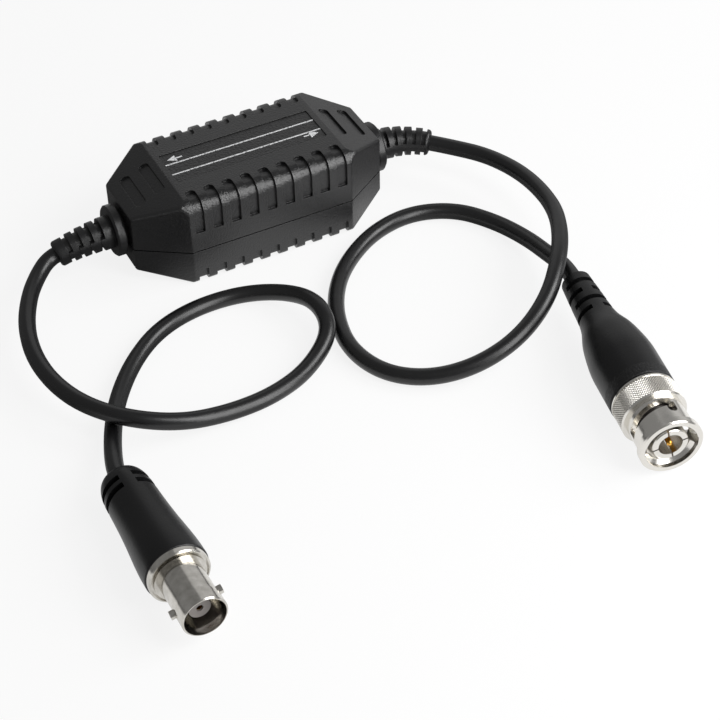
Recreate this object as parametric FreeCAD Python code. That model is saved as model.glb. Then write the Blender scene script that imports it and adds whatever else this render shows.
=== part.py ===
import FreeCAD, Part

import math
import os
from collections import namedtuple

# Video ground loop isolator, in millimetres, +Z up.
# The origin is the centre of the housing's base. +X runs along the housing to the plug's end,
# -Y is the side that the two connectors lie on.

Vec = FreeCAD.Vector

# Housing, a grooved box with sloped and tapered ends
centre_half_length = 20.7
half_length = 32.3
half_width = 15.3
end_half_width = 7.7
height = 22.9
end_face_low = 3.1
end_face_high = 18.4
parting_height = 9.3
top_edge_radius = 3.4
base_edge_radius = 1.4
inner_edge_radius = 0.45
facet_radius = 1.0
seam_depth = 0.15
seam_width = 0.25
wall = 2.0

# Lap joint between the shells
lap_thickness = 0.9
lap_height = 1.0
lap_clearance = 0.1

# Grooves along both long sides
groove_count = 9
groove_pitch = 4.586
groove_width = 2.5
groove_depth = 0.7
groove_top_round = 1.1
groove_side_round = 0.4
groove_reach = 5.5
groove_above_parting = 5.15
groove_below_parting = 5.6

# Label recess and panel on the top
label_length = 38.4
label_width = 11.6
label_depth = 0.5
label_round = 0.5
panel_thickness = 0.3
panel_clearance = 0.1
line_offset = 2.0
line_shift = -0.3
line_width = 0.36
marking_thickness = 0.06
arrow_tip = 18.0
arrow_line = 3.4
arrow_head_length = 2.2
arrow_head_half_width = 1.13
arrow_length = 3.8

# Stadium recesses on the sloped ends of the top
stadium_places = (23.5, 28.4)
stadium_length = 11.7
stadium_width = 2.5
stadium_round = 1.1
stadium_depth = 0.5

# Bosses and pegs that join the shells and seat the board
boss_x = 18.0
boss_y = 11.0
boss_radius = 2.2
pin_radius = 0.9
pin_length = 3.0
pin_clearance = 0.1
rib_x = 12.0
rib_thickness = 1.2
rib_height = 2.5
peg_y = 8.0
peg_radius = 0.8
peg_rise = 0.7
peg_clearance = 0.05

# Circuit board and transformer
board_length = 31.0
board_width = 21.0
board_thickness = 1.2
board_round = 1.0
solder_hole_radius = 0.5
solder_inset = 2.3
solder_y = 5.2
conductor_beside_pad = 1.7
conductor_below_board = 0.6
pad_radius = 8.5
pad_thickness = 0.8
core_outer_radius = 7.5
core_inner_radius = 4.0
core_height = 6.0
core_round = 0.6
winding_thickness = 0.7
winding_angle = 150.0
winding_lead_radius = 0.3
winding_lead_reach = 0.7
winding_lead_rise = 2.2
winding_lead_below_board = 0.5
winding_lead_angle = 62.0

# Coaxial cable
cable_radius = 1.95
core_wire_radius = 1.0
conductor_radius = 0.4
braid_tail_radius = 0.5
fit_gap = 0.03

# Strain reliefs in the end walls
relief_height = 10.6
relief_hole_radius = 3.75
relief_neck_radius = 3.6
relief_inner_radius = 4.9
relief_inner_thickness = 1.4
relief_collar_radius = 4.6
relief_collar_length = 0.8
relief_flange_radius = 6.2
relief_flange_thickness = 2.1
relief_flange_bevel = 0.45
tail_length = 13.6
tail_slot_width = 1.1
tail_pitch = 2.58
tail_root_radius = 4.15
tail_tip_radius = 3.2
tail_end_round = 0.8
tail_core_radius = 2.6
tail_spine_angle = 15.0
tail_spine_turn = 5.0
jacket_inside = 3.8
core_level_run = 4.0
core_board_run = 3.5
core_past_solder = 0.8
braid_level_run = 2.0
braid_turn_run = 3.0
braid_turn_offset = 1.2
braid_board_run = 3.8

# Each tail bends by the first angle, in a plane that the second turns down from the horizontal.
# The cable runs straight on from it by its lead.
Tail = namedtuple("Tail", "bend fall first_slot slots lead")
left_tail = Tail(bend=15.0, fall=90.0, first_slot=2.2, slots=4, lead=2.2)
right_tail = Tail(bend=40.0, fall=8.0, first_slot=1.2, slots=5, lead=5.2)

# Jack on the left cable. Stations run back from its mouth.
jack_place = Vec(-62.05, -115.0, 0)
jack_yaw = -90.0
jack_pitch = 3.25
floor_gap = 0.03
barrel_radius = 4.85
barrel_edge = 0.25
barrel_land_end = 3.5
barrel_relief = 0.17
barrel_mouth_radius = 4.45
barrel_bore_radius = 4.1
barrel_taper = 2.0
barrel_bore_depth = 8.8
barrel_web = 0.5
boss_front = 11.9
barrel_boss_radius = 5.6
flange_front = 12.2
flange_thickness = 1.4
flange_radius = 6.6
flange_rim = 0.45
flange_recess = 0.7
jack_seat_radius = 4.5
jack_seat_length = 5.9
neck_radius = 1.45
neck_bore_radius = 1.08
neck_length = 7.0
jack_chamber_radius = 3.0
jack_chamber_end = 17.2
pin_station = 4.5
bayonet_pin_radius = 0.95
bayonet_pin_reach = 5.65
bayonet_pin_turn = 10.0
pin_dimple_radius = 0.5
pin_dimple_depth = 0.25
post_front = 2.7
post_radius = 2.3
post_lip = 0.5
post_hole_radius = 0.75
socket_radius = 1.1
socket_bore_radius = 0.7
socket_bore_length = 6.3
socket_slot_width = 0.25
socket_slot_length = 4.8
socket_end = 16.4
cup_depth = 2.4
cup_gap = 0.02
ferrule_thickness = 0.6
ferrule_overlap = 2.5
braid_thickness = 0.5
jacket_behind_neck = 0.3
braid_start = 0.6
braid_into_jacket = 0.5
core_past_neck = 1.0
conductor_short = 0.1
insulator_short = 0.2
jack_boot_radius = 6.85
jack_boot_land = 1.5
jack_boot_waist = 6.2
jack_boot_waist_station = 25.0
jack_boot_shoulder = 5.55
jack_boot_shoulder_station = 37.0
jack_boot_tail = 4.95
jack_boot_tail_station = 42.0
jack_boot_end = 44.0
jack_boot_end_radius = 3.4
jack_boot_tip_length = 0.6
jack_boot_tip_rise = 0.75
boot_edge_round = 0.4
jack_boot_slots = (36.8, 39.4)
jack_boot_slot_width = 1.5
jack_boot_slot_floor = 3.2
jack_boot_spine_angle = 15.0

# Plug on the right cable. Stations run back from the lip of its bayonet sleeve.
plug_place = Vec(41.89, -118.76, 0)
plug_yaw = -101.11
sleeve_lip_radius = 7.1
sleeve_lip_width = 1.7
sleeve_mouth_radius = 5.8
sleeve_mouth_depth = 1.0
sleeve_radius = 6.4
sleeve_bore_radius = 5.0
sleeve_web_front = 9.0
sleeve_web_thickness = 0.9
knurl_front = 9.05
knurl_radius = 7.4
knurl_root_radius = 7.2
knurl_margin = 0.4
knurl_rear_band = 0.75
sleeve_length = 15.3
sleeve_cavity_radius = 6.5
sleeve_edge = 0.3
running_gap = 0.08
flange_gap = 0.03
shoulder_gap = 0.1
cam_slot_width = 2.1
cam_rear_start = 6.85
cam_rear_end = 8.15
cam_angle_start = 185.0
cam_angle_end = 70.0
cam_notch_station = 5.2
cam_notch_angle = 74.0
cam_overrun = 0.6
entry_half_angle = 12.0
entry_radius = 5.95
finger_front = 0.7
finger_radius = 4.05
finger_bore_radius = 2.7
finger_edge = 0.2
finger_slot_width = 0.35
finger_slot_length = 6.5
finger_slot_angle = 13.0
gasket_thickness = 1.0
gasket_rim = 0.6
body_radius = 4.7
body_flange_thickness = 1.1
body_end = 21.0
plug_chamber_radius = 3.3
plug_chamber_front = 7.5
plug_chamber_end = 16.2
insulator_front = 6.5
plug_pin_radius = 0.65
plug_pin_tip = 0.85
plug_pin_round = 0.3
plug_pin_centre_radius = 0.2
plug_pin_centre_depth = 0.3
plug_pin_collar_radius = 1.1
plug_pin_collar_front = 9.0
plug_pin_end = 15.4
spring_thickness = 0.3
spring_wave = 0.3
spring_waves = 3
spring_inner_radius = 4.95
spring_outer_radius = 6.15
sleeve_travel = 0.8
washer_thickness = 0.6
washer_slack = 0.1
ring_thickness = 0.6
ring_inner_radius = 5.6
ring_groove_depth = 0.4
ring_slack = 0.03
ring_gap_angle = 24.0
boot_front_gap = 0.15
plug_boot_radius = 7.5
plug_boot_straight = 25.4
plug_boot_outline = ((32.0, 6.8), (35.7, 6.0), (39.0, 4.9), (42.3, 4.3), (46.0, 4.05), (55.1, 3.45))
plug_boot_side_slots = (42.3, 48.8)
plug_boot_top_slots = (45.4, 52.1)
plug_boot_slot_width = 1.4
plug_boot_slot_floor = 2.7
plug_boot_spine_angle = 18.0

# Cable routes, chosen by hand between the relief and the connector
left_route = (
    (-54.7, -3.3, 7.2), (-58.8, -8.8, 6.8), (-62.9, -17.9, 6.7), (-64.9, -28.2, 6.7),
    (-64.2, -38.8, 6.8), (-60.8, -48.7, 7.1), (-53.9, -57.2, 7.1), (-43.7, -61.0, 4.6),
    (-32.4, -60.9, 2.3), (-21.5, -60.0, 1.95), (-11.4, -56.6, 2.4), (-2.3, -49.6, 4.4),
    (-1.2, -40.7, 6.0), (-4.9, -31.6, 3.6), (-13.4, -25.6, 1.95), (-24.8, -25.0, 1.95),
    (-35.5, -28.1, 1.95), (-44.6, -35.2, 1.95), (-52.5, -45.1, 2.0), (-57.9, -55.9, 3.0))
jack_lead = 3.0
right_route = (
    (58.2, -15.7, 9.5), (61.7, -27.1, 9.9), (61.0, -40.2, 10.7), (57.0, -50.3, 11.6),
    (50.6, -60.0, 11.9), (42.0, -69.2, 10.2), (31.5, -74.5, 7.2), (20.4, -75.1, 4.2),
    (10.4, -71.8, 2.3), (2.7, -65.2, 1.95), (-0.4, -54.7, 1.95), (1.9, -43.3, 1.95),
    (7.1, -33.4, 1.95), (14.7, -25.7, 1.95), (24.5, -19.8, 1.95), (35.2, -17.9, 1.95),
    (45.3, -21.9, 1.95), (51.4, -30.6, 2.0), (53.9, -41.1, 3.4), (53.8, -51.1, 5.6))
plug_lead = 5.8
arc_share = 0.45

parts_folder = "parts"
up = Vec(0, 0, 1)


def save(name, shape):
    shape.exportStep(os.path.join(parts_folder, name + ".step"))


def cylinder(radius, length, at, axis):
    return Part.makeCylinder(radius, length, at, axis)


def box(low, high):
    size = high.sub(low)
    return Part.makeBox(size.x, size.y, size.z, low)


def joined(shapes):
    whole = shapes[0].fuse(list(shapes[1:]))
    return whole.removeSplitter()


def corner_arc(before, corner, after, reach):
    """Start, middle and end of the arc that is tangent to both runs, reach away from their corner."""
    back = before.sub(corner).normalize()
    ahead = after.sub(corner).normalize()
    half = back.getAngle(ahead) / 2
    inward = back.add(ahead).normalize()
    centre = corner + inward * (reach / math.cos(half))
    start = corner + back * reach
    end = corner + ahead * reach
    return start, centre - inward * (reach * math.tan(half)), end


def rounded_face(points, radii):
    """A flat face with straight sides and a radius at each corner."""
    edges = []
    arcs = []
    count = len(points)
    for index, corner in enumerate(points):
        before = points[index - 1]
        after = points[(index + 1) % count]
        half = before.sub(corner).getAngle(after.sub(corner)) / 2
        arcs.append(corner_arc(before, corner, after, radii[index] / math.tan(half)))
    for index, (start, middle, end) in enumerate(arcs):
        edges.append(Part.Arc(start, middle, end).toShape())
        following = arcs[(index + 1) % count][0]
        edges.append(Part.LineSegment(end, following).toShape())
    return Part.Face(Part.Wire(edges))


def plate(length, width, radius, bottom, thickness, centre_x=0.0, centre_y=0.0):
    """An upright prism with a rounded rectangular outline."""
    x = length / 2
    y = width / 2
    corners = [Vec(centre_x + a * x, centre_y + b * y, bottom)
               for a, b in ((-1, -1), (1, -1), (1, 1), (-1, 1))]
    return rounded_face(corners, [radius] * 4).extrude(up * thickness)


def prism(points, direction):
    return Part.Face(Part.makePolygon(points + [points[0]])).extrude(direction)


def sloped_end(along, across, end_along, end_across, inset):
    """Where a sloped end meets the long side and the end face, with all three moved in by inset."""
    run = end_along - along
    drop = across - end_across
    normal_along = drop / math.hypot(run, drop)
    normal_across = run / math.hypot(run, drop)
    meets_side = along - inset * (1 - normal_across) / normal_along
    end_now = end_along - inset
    meets_end = across - (inset + normal_along * (end_now - along)) / normal_across
    return meets_side, meets_end


def block(inset, rounding=0.0):
    """The housing's whole outer form, with every wall moved in by inset."""
    end_x = half_length - inset
    side_y = half_width - inset
    low_z = inset
    high_z = height - inset
    section = [Vec(-end_x, y, z) for y, z in
               ((-side_y, low_z), (side_y, low_z), (side_y, high_z), (-side_y, high_z))]
    base_round = max(base_edge_radius - inset, inner_edge_radius)
    top_round = max(top_edge_radius - inset, inner_edge_radius)
    bar = rounded_face(section, [base_round, base_round, top_round, top_round]).extrude(Vec(2 * end_x, 0, 0))
    plan_x, plan_y = sloped_end(centre_half_length, half_width, half_length, end_half_width, inset)
    plan = [Vec(x, y, -1) for x, y in (
        (-plan_x, side_y), (plan_x, side_y), (end_x, plan_y), (end_x, -plan_y),
        (plan_x, -side_y), (-plan_x, -side_y), (-end_x, -plan_y), (-end_x, plan_y))]
    top_x, top_z = sloped_end(centre_half_length, height, half_length, end_face_high, inset)
    low_x, low_end = sloped_end(centre_half_length, 0.0, half_length, -end_face_low, inset)
    side = [Vec(x, -half_width - 1, z) for x, z in (
        (-top_x, high_z), (top_x, high_z), (end_x, top_z), (end_x, -low_end),
        (low_x, low_z), (-low_x, low_z), (-end_x, -low_end), (-end_x, top_z))]
    form = bar.common(prism(plan, up * (height + 2)))
    form = form.common(prism(side, Vec(0, 2 * half_width + 2, 0)))
    if rounding > 0:
        form = form.makeFillet(rounding, slope_edges(form))
    return form


def slope_edges(form):
    """The straight edges at which the sloped ends meet the box, the end faces and each other."""
    chosen = []
    for edge in form.Edges:
        middle = edge.CenterOfMass
        outside = abs(middle.x) > centre_half_length - 0.5
        if outside and edge.Curve.TypeId == "Part::GeomLine":
            chosen.append(edge)
    return chosen


def slab(low, high):
    return box(Vec(-half_length - 1, -half_width - 1, low), Vec(half_length + 1, half_width + 1, high))


def groove_row(from_z, to_z):
    """The grooves on both long sides, all one depth below the surface, with rounded ends."""
    inner = half_width - groove_reach
    cutters = []
    for index in range(groove_count):
        x = (index - (groove_count - 1) / 2) * groove_pitch
        for side in (-1, 1):
            centre_y = side * (inner + half_width + 1) / 2
            seen_above = plate(groove_width, half_width + 1 - inner, groove_top_round, from_z,
                               to_z - from_z, x, centre_y)
            low_y = min(side * inner, side * (half_width + 1))
            corners = [Vec(x + a * groove_width / 2, low_y, z) for a, z in
                       ((-1, from_z), (1, from_z), (1, to_z), (-1, to_z))]
            seen_beside = rounded_face(corners, [groove_side_round] * 4)
            cutters.append(seen_above.common(seen_beside.extrude(Vec(0, half_width + 1 - inner, 0))))
    return Part.Compound(cutters).cut(block(groove_depth))


def relief_opening(radius, inner_x, outer_x):
    """The hole for a strain relief, open straight down to the parting line on its lower half."""
    hole = cylinder(radius, outer_x - inner_x, Vec(inner_x, 0, relief_height), Vec(1, 0, 0))
    drop = box(Vec(inner_x, -radius, parting_height), Vec(outer_x, radius, relief_height))
    whole = hole.fuse(drop)
    return whole.fuse(whole.mirror(Vec(0, 0, 0), Vec(1, 0, 0)))


def round_hole_pair(radius, inner_x, outer_x):
    hole = cylinder(radius, outer_x - inner_x, Vec(inner_x, 0, relief_height), Vec(1, 0, 0))
    return hole.fuse(hole.mirror(Vec(0, 0, 0), Vec(1, 0, 0)))


def four_posts(radius, bottom, top, x, y):
    posts = [cylinder(radius, top - bottom, Vec(a * x, b * y, bottom), up) for a in (-1, 1) for b in (-1, 1)]
    return Part.Compound(posts)


def lap_ring(thickness, rise):
    """The standing lip that runs round inside the wall, above the parting line."""
    ring = block(wall - thickness).cut(block(wall))
    return ring.common(slab(parting_height, parting_height + rise))


def parting_seam():
    """A fine step cut into both outer edges, so that the shells meet in a clean shadow line."""
    ring = block(0).cut(block(seam_depth))
    return ring.common(slab(parting_height - seam_width / 2, parting_height + seam_width / 2))


def make_upper_shell():
    shell = block(0, facet_radius).common(slab(parting_height, height + 1))
    shell = shell.cut(block(wall))
    bosses = four_posts(boss_radius, parting_height, height - wall / 2, boss_x, boss_y)
    bosses = bosses.common(block(wall / 2))
    shell = joined([shell, bosses])
    hole_top = parting_height + pin_length + pin_clearance
    holes = four_posts(pin_radius + pin_clearance, parting_height, hole_top, boss_x, boss_y)
    label = plate(label_length, label_width, label_round, height - label_depth, label_depth + 1)
    stadiums = [plate(stadium_width, stadium_length, stadium_round, end_face_high - 2, height, side * x)
                for x in stadium_places for side in (-1, 1)]
    stadiums = Part.Compound(stadiums).cut(block(stadium_depth))
    lap = lap_ring(lap_thickness + lap_clearance, lap_height + lap_clearance)
    opening = relief_opening(relief_hole_radius, half_length - wall - 1, half_length + 1)
    grooves = groove_row(parting_height + groove_above_parting, height + 1)
    return shell.cut([holes, label, stadiums, lap, opening, grooves, parting_seam()]).removeSplitter()


def make_lower_shell():
    shell = block(0, facet_radius).common(slab(-1, parting_height))
    shell = shell.cut(block(wall))
    bosses = four_posts(boss_radius, wall / 2, parting_height, boss_x, boss_y)
    ribs = [box(Vec(side * rib_x - rib_thickness / 2, -half_width, wall / 2),
                Vec(side * rib_x + rib_thickness / 2, half_width, wall + rib_height)) for side in (-1, 1)]
    posts = Part.Compound([bosses] + ribs).common(block(wall / 2))
    pins = four_posts(pin_radius, parting_height - 1, parting_height + pin_length, boss_x, boss_y)
    board_top = wall + rib_height + board_thickness
    pegs = four_posts(peg_radius, wall + rib_height - 1, board_top + peg_rise, rib_x, peg_y)
    lip = lap_ring(lap_thickness, lap_height)
    shell = joined([shell, posts, pins, pegs, lip])
    opening = round_hole_pair(relief_hole_radius, half_length - wall - 1, half_length + 1)
    above = relief_opening(relief_hole_radius, half_length - wall - 1, half_length + 1).common(
        slab(parting_height, height))
    grooves = groove_row(-1, parting_height - groove_below_parting)
    return shell.cut([opening, above, grooves, parting_seam()]).removeSplitter()


def make_panel():
    return plate(label_length - 2 * panel_clearance, label_width - 2 * panel_clearance, label_round,
                 height - label_depth, panel_thickness)


def make_marking():
    """The two silver lines and the two arrows, each a thin plate on the panel."""
    bottom = height - label_depth + panel_thickness
    length = label_length - 2 * panel_clearance
    pieces = []
    for side in (-1, 1):
        middle = line_shift + side * line_offset
        pieces.append(box(Vec(-length / 2, middle - line_width / 2, bottom),
                          Vec(length / 2, middle + line_width / 2, bottom + marking_thickness)))
        # The arrow on the viewer's side points to +X, the other one to -X.
        aim = -side
        y = side * arrow_line
        base = aim * (arrow_tip - arrow_head_length)
        tail = aim * (arrow_tip - arrow_length)
        half_line = line_width / 2
        outline = [Vec(aim * arrow_tip, y, bottom), Vec(base, y + arrow_head_half_width, bottom),
                   Vec(base, y + half_line, bottom), Vec(tail, y + half_line, bottom),
                   Vec(tail, y - half_line, bottom), Vec(base, y - half_line, bottom),
                   Vec(base, y - arrow_head_half_width, bottom)]
        pieces.append(prism(outline, up * marking_thickness))
    return Part.Compound(pieces)


board_bottom = wall + rib_height
board_top = board_bottom + board_thickness
conductor_x = pad_radius + conductor_beside_pad
solder_x = board_length / 2 - solder_inset


def make_board():
    board = plate(board_length, board_width, board_round, board_bottom, board_thickness)
    pegs = four_posts(peg_radius + peg_clearance, board_bottom - 1, board_top + 1, rib_x, peg_y)
    holes = []
    for side in (-1, 1):
        foot = Vec(side * conductor_x, 0, board_bottom - 1)
        holes.append(cylinder(solder_hole_radius, board_thickness + 2, foot, up))
        for turn in (-1, 1):
            holes.append(cylinder(winding_lead_radius + fit_gap, board_thickness + 2,
                                  winding_lead_place(side, turn, board_bottom - 1), up))
    return board.cut([pegs] + holes)


core_bottom = board_top + pad_thickness + winding_thickness


def make_core_pad():
    return cylinder(pad_radius, pad_thickness, Vec(0, 0, board_top), up)


def ring_section(inner, outer, bottom, top, radius):
    corners = [Vec(inner, 0, bottom), Vec(outer, 0, bottom), Vec(outer, 0, top), Vec(inner, 0, top)]
    return rounded_face(corners, [radius] * 4)


def make_toroid_core():
    section = ring_section(core_inner_radius, core_outer_radius, core_bottom, core_bottom + core_height,
                           core_round)
    return section.revolve(Vec(0, 0, 0), up, 360)


def winding_lead_place(side, turn, z):
    """A winding's lead stands just outside it, near one end of its arc."""
    angle = math.radians((90 - side * 90) + turn * winding_lead_angle)
    radius = core_outer_radius + winding_thickness + winding_lead_reach
    return Vec(radius * math.cos(angle), radius * math.sin(angle), z)


def make_winding(side):
    """One winding covers an arc of the core on the side of its own cable."""
    outer = ring_section(core_inner_radius - winding_thickness, core_outer_radius + winding_thickness,
                         core_bottom - winding_thickness, core_bottom + core_height + winding_thickness,
                         core_round + winding_thickness)
    inner = ring_section(core_inner_radius, core_outer_radius, core_bottom, core_bottom + core_height,
                         core_round)
    middle = 90 - side * 90
    section = outer.cut(inner)
    section.rotate(Vec(0, 0, 0), up, middle - winding_angle / 2)
    pieces = [section.revolve(Vec(0, 0, 0), up, winding_angle)]
    for turn in (-1, 1):
        foot = winding_lead_place(side, turn, board_bottom - winding_lead_below_board)
        head = winding_lead_place(side, turn, board_top + winding_lead_rise)
        inward = Vec(-head.x, -head.y, 0).normalize()
        pieces.append(cylinder(winding_lead_radius, head.z - foot.z, foot, up))
        inward_length = winding_lead_reach + winding_thickness / 2
        pieces.append(cylinder(winding_lead_radius, inward_length, head, inward))
        pieces.append(Part.makeSphere(winding_lead_radius, head))
    return joined(pieces)


def tube(points, radius, name=None):
    """A round tube along straight runs and tangent arcs, its arcs as large as the runs allow."""
    points = [Vec(*point) for point in points]
    runs = [after.sub(before).Length for before, after in zip(points, points[1:])]
    edges = []
    radii = []
    here = points[0]
    for index in range(1, len(points) - 1):
        reach = arc_share * min(runs[index - 1], runs[index])
        before, corner, after = points[index - 1:index + 2]
        start, middle, end = corner_arc(before, corner, after, reach)
        arc = Part.Arc(start, middle, end).toShape()
        edges.append(Part.LineSegment(here, start).toShape())
        edges.append(arc)
        radii.append(arc.Curve.Radius)
        here = end
    edges.append(Part.LineSegment(here, points[-1]).toShape())
    path = Part.Wire(edges)
    ring = Part.Wire(Part.makeCircle(radius, points[0], points[1].sub(points[0])))
    solid = path.makePipeShell([ring], True, False)
    if name:
        ratio = solid.Volume / (math.pi * radius ** 2 * path.Length)
        print(name, "length", round(path.Length, 1), "volume ratio", round(ratio, 4))
        print("  radii", [round(value, 1) for value in radii])
        print("  runs", [round(value, 1) for value in runs])
    return solid


relief_face = half_length + relief_collar_length + relief_flange_thickness


def relief_exit(side, tail):
    """The centre of a relief's outer end and the direction that the cable leaves in."""
    angle = math.radians(tail.bend)
    fall = math.radians(tail.fall)
    radius = tail_length / angle
    aside = radius * (1 - math.cos(angle))
    end = Vec(side * (relief_face + radius * math.sin(angle)), -aside * math.cos(fall),
              relief_height - aside * math.sin(fall))
    heading = Vec(side * math.cos(angle), -math.sin(angle) * math.cos(fall),
                  -math.sin(angle) * math.sin(fall))
    return end, heading


def bent(face, bend, start, length):
    """Sweep a face that stands at the relief's outer flange along the tail's bend."""
    per_length = bend / tail_length
    radius = math.degrees(1) / per_length
    hub = Vec(relief_face, -radius, 0)
    piece = face.copy()
    piece.rotate(hub, up, -start * per_length)
    return piece.revolve(hub, up * -1, length * per_length)


def fallen(piece, tail):
    """Turn a relief, or the jacket in it, about its own axis, so that its tail bends downward."""
    turned_piece = piece.copy()
    turned_piece.rotate(Vec(0, 0, relief_height), Vec(1, 0, 0), tail.fall)
    return turned_piece


def tail_disc(radius):
    return Part.Face(Part.Wire(Part.makeCircle(radius, Vec(relief_face, 0, relief_height), Vec(1, 0, 0))))


def tail_web(radius, tail):
    """The tail's section at a slot: its round core and the spine on each side."""
    half = radius * math.sin(math.radians(tail_spine_angle))
    corners = [Vec(relief_face, y, relief_height + z) for y, z in
               ((-radius, -half), (radius, -half), (radius, half), (-radius, half))]
    spine = Part.Face(Part.makePolygon(corners + [corners[0]])).common(tail_disc(radius))
    spine.rotate(Vec(relief_face, 0, relief_height), Vec(1, 0, 0), -tail_spine_turn - tail.fall)
    return spine.fuse(tail_disc(tail_core_radius)).removeSplitter()


def rounded_tip(start, tail):
    """The last solid length of the tail, with its outer edge rounded over."""
    tip = bent(tail_disc(tail_tip_radius), tail.bend, start, tail_length - start)
    angle = math.radians(tail.bend)
    radius = tail_length / angle
    centre = Vec(relief_face + radius * math.sin(angle), -radius * (1 - math.cos(angle)), relief_height)
    rim = min(tip.Edges, key=lambda edge: edge.CenterOfMass.distanceToPoint(centre))
    return tip.makeFillet(tail_end_round, [rim])


def make_relief(side, tail):
    """A soft moulded relief: inner flange, neck in the wall, outer flange and a slotted tail."""
    inner_x = half_length - wall
    inner_end = inner_x - relief_inner_thickness
    flange_x = half_length + relief_collar_length
    profile = [(inner_end, 0), (inner_end, relief_inner_radius), (inner_x, relief_inner_radius),
               (inner_x, relief_neck_radius), (half_length, relief_neck_radius),
               (half_length, relief_collar_radius), (flange_x, relief_collar_radius),
               (flange_x, relief_flange_radius), (relief_face - relief_flange_bevel, relief_flange_radius),
               (relief_face, relief_flange_radius - relief_flange_bevel), (relief_face, 0)]
    points = [Vec(x, 0, relief_height + r) for x, r in profile]
    section = Part.Face(Part.makePolygon(points + [points[0]]))
    pieces = [section.revolve(Vec(0, 0, relief_height), Vec(1, 0, 0), 360)]
    here = 0.0
    for index in range(tail.slots):
        slot_start = tail.first_slot + index * tail_pitch
        share = (slot_start + tail_slot_width / 2) / tail_length
        radius = tail_root_radius + (tail_tip_radius - tail_root_radius) * share
        pieces.append(bent(tail_disc(radius), tail.bend, here, slot_start - here))
        pieces.append(bent(tail_web(radius, tail), tail.bend, slot_start, tail_slot_width))
        here = slot_start + tail_slot_width
    pieces.append(rounded_tip(here, tail))
    relief = joined(pieces)
    overrun = 0.001
    hole_start = inner_end - 1
    jacket = Part.Compound([
        bent(tail_disc(cable_radius + fit_gap), tail.bend, -overrun, tail_length + 2 * overrun),
        cylinder(cable_radius + fit_gap, relief_face - hole_start, Vec(hole_start, 0, relief_height),
                 Vec(1, 0, 0))])
    relief = fallen(relief.cut(jacket), tail)
    return relief if side > 0 else relief.mirror(Vec(0, 0, 0), Vec(1, 0, 0))


def make_cable_end(side, tail):
    """The cable inside a relief: its jacket, then the bare core down to the board."""
    jacket_end = half_length - wall - jacket_inside
    jacket = joined([bent(tail_disc(cable_radius), tail.bend, 0, tail_length),
                     cylinder(cable_radius, relief_face - jacket_end, Vec(jacket_end, 0, relief_height),
                              Vec(1, 0, 0))])
    core_z = board_top + core_wire_radius
    bare_x = solder_x + core_past_solder
    core = tube([(jacket_end + 1, 0, relief_height), (jacket_end - core_level_run, 0, relief_height),
                 (bare_x + core_board_run, 0, core_z), (bare_x, 0, core_z)], core_wire_radius)
    wire = tube([(bare_x + 1, 0, core_z), (conductor_x, 0, core_z),
                 (conductor_x, 0, board_bottom - conductor_below_board)], conductor_radius)
    whole = joined([fallen(jacket, tail), core, wire])
    return whole if side > 0 else whole.mirror(Vec(0, 0, 0), Vec(1, 0, 0))


def make_shield_tail(side):
    """The braid, twisted into a tail beside the core and soldered to the board."""
    start_x = half_length - wall - jacket_inside
    beside = core_wire_radius + braid_tail_radius + fit_gap
    rest_z = board_top + braid_tail_radius
    level_x = start_x - braid_level_run
    tail = tube([(start_x, -beside, relief_height), (level_x, -beside, relief_height),
                 (level_x - braid_turn_run, -beside - braid_turn_offset, relief_height - braid_turn_offset),
                 (solder_x + braid_board_run, -solder_y, rest_z), (solder_x, -solder_y, rest_z)],
                braid_tail_radius)
    return tail if side > 0 else tail.mirror(Vec(0, 0, 0), Vec(1, 0, 0))


def turned(profile):
    """A turned solid. Its profile is a closed list of stations back from the mouth and radii."""
    points = [Vec(radius, 0, -station) for station, radius in profile]
    return Part.Face(Part.makePolygon(points + [points[0]])).revolve(Vec(0, 0, 0), up, 360)


def pipe(front, rear, inner, outer):
    return turned([(front, inner), (front, outer), (rear, outer), (rear, inner)])


def sector(front, rear, inner, outer, from_angle, to_angle):
    corners = [Vec(inner, 0, -front), Vec(outer, 0, -front), Vec(outer, 0, -rear), Vec(inner, 0, -rear)]
    face = Part.Face(Part.makePolygon(corners + [corners[0]]))
    face.rotate(Vec(0, 0, 0), up, from_angle)
    return face.revolve(Vec(0, 0, 0), up, to_angle - from_angle)


def rest_height(outline, pitch):
    """How high the mouth's centre is when a boot of this outline lies on the floor at this pitch."""
    slope = math.radians(pitch)
    corners = [Vec(radius, 0, -station) for station, radius in outline[:2]]
    points = corners + boot_curve(outline).discretize(60)
    return max(point.x * math.cos(slope) - point.z * math.sin(slope) for point in points) + floor_gap


def connector_frame(place, yaw, pitch, mouth_height):
    turn = math.radians(yaw)
    slope = math.radians(pitch)
    aim = Vec(math.cos(slope) * math.cos(turn), math.cos(slope) * math.sin(turn), math.sin(slope))
    right = up.cross(aim).normalize()
    top = aim.cross(right)
    return FreeCAD.Placement(FreeCAD.Matrix(
        right.x, top.x, aim.x, place.x,
        right.y, top.y, aim.y, place.y,
        right.z, top.z, aim.z, mouth_height,
        0, 0, 0, 1))


def placed(shape, frame):
    done = shape.copy()
    done.Placement = frame.multiply(done.Placement)
    return done


def boot_curve(outline):
    """The outer form of a boot behind its straight front part, as one smooth curve."""
    points = [Vec(radius, 0, -station) for station, radius in outline]
    curve = Part.BSplineCurve()
    ahead = points[1].sub(points[0]).normalize()
    closing = points[-1].sub(points[-2]).normalize()
    curve.interpolate(Points=points[1:], InitialTangent=ahead, FinalTangent=closing)
    return curve


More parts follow.
